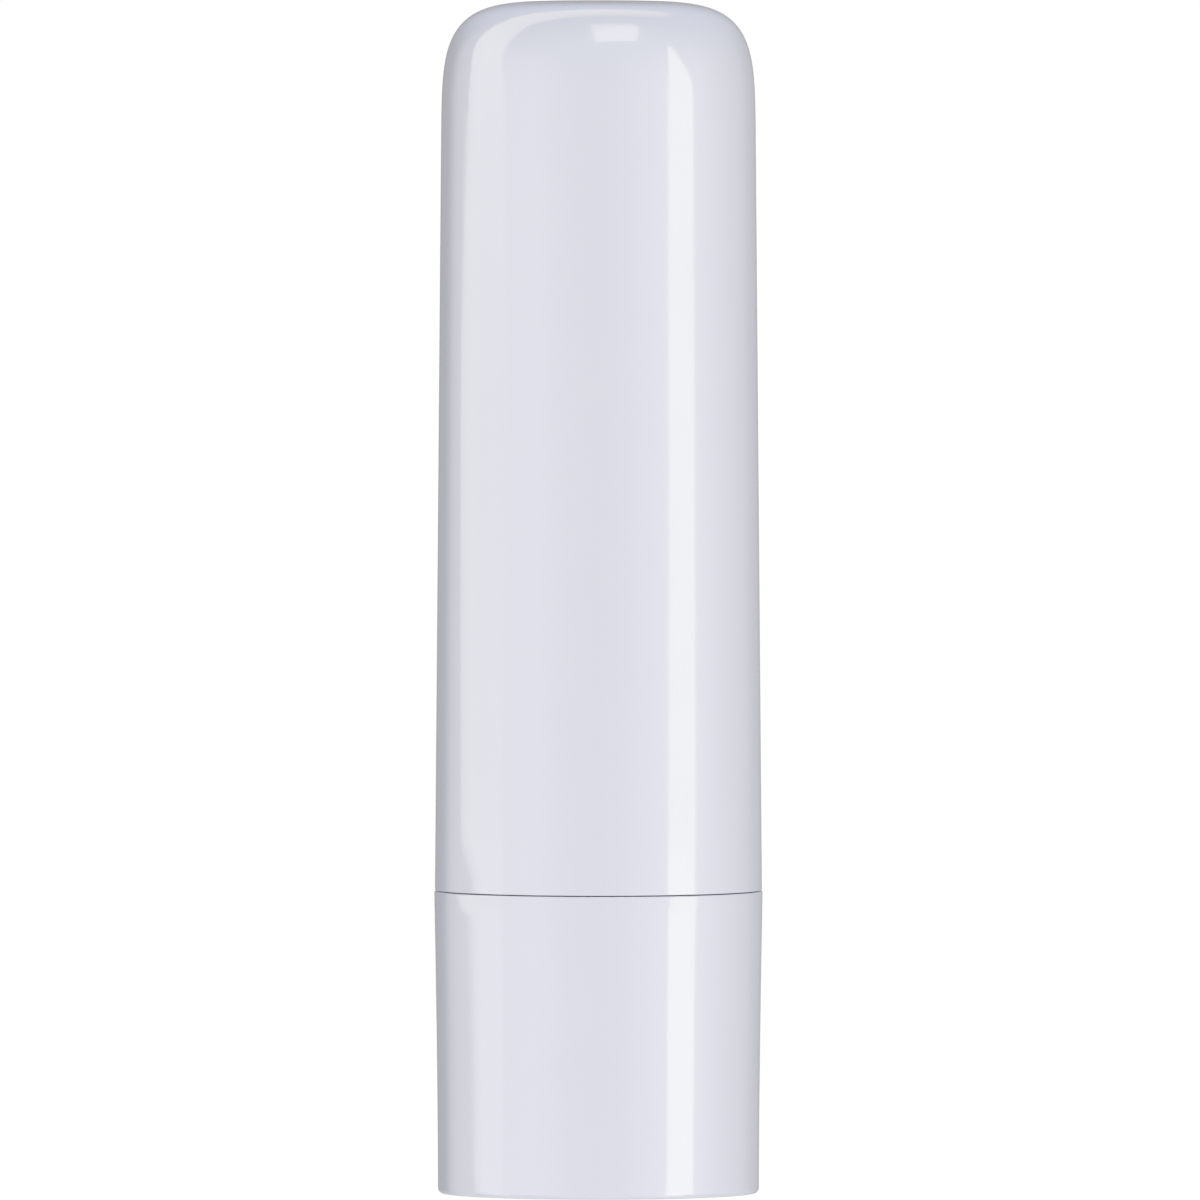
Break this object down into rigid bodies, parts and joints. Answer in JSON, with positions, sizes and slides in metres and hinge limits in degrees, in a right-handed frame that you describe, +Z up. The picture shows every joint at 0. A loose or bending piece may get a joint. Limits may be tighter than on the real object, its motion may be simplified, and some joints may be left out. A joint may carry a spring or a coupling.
{
  "type": "lip balm stick",
  "caption": "Twist-up lip balm stick: a tall domed cap over a short turning base, with a barrel, screw, carrier and balm inside.",
  "frame": {"origin": "centre of the base's foot, on the surface that the stick stands on", "axes": "+Z up along the stick's axis, from the base towards the cap's dome; the stick is round, and +X and +Y pass through two of the barrel's keys"},
  "size_m": [0.019, 0.019, 0.069],
  "materials": {
    "shell_white": "gloss",
    "inner_white": "satin",
    "balm_wax": "satin"
  },
  "bodies": {
    "barrel": {"barrel": "inner_white"},
    "base": {"base": "shell_white", "spindle": "inner_white"},
    "carrier": {"carrier": "inner_white", "balm": "balm_wax"},
    "cap": {"cap": "shell_white"}
  },
  "joints": [
    {"name": "base_twist", "type": "hinge", "parent": "barrel", "child": "base", "pos_m": [0, 0, 0], "axis": [0, 0, 1], "range_deg": [0, 2475]},
    {"name": "carrier_rise", "type": "slide", "parent": "barrel", "child": "carrier", "axis": [0, 0, 1], "range_m": [0, 0.0275]},
    {"name": "cap_pull", "type": "slide", "parent": "barrel", "child": "cap", "axis": [0, 0, 1], "range_m": [0, 0.05]}
  ],
  "couplings": [
    {"joint": "carrier_rise", "follows": "base_twist", "m_per_rad": 0.00063662}
  ]
}
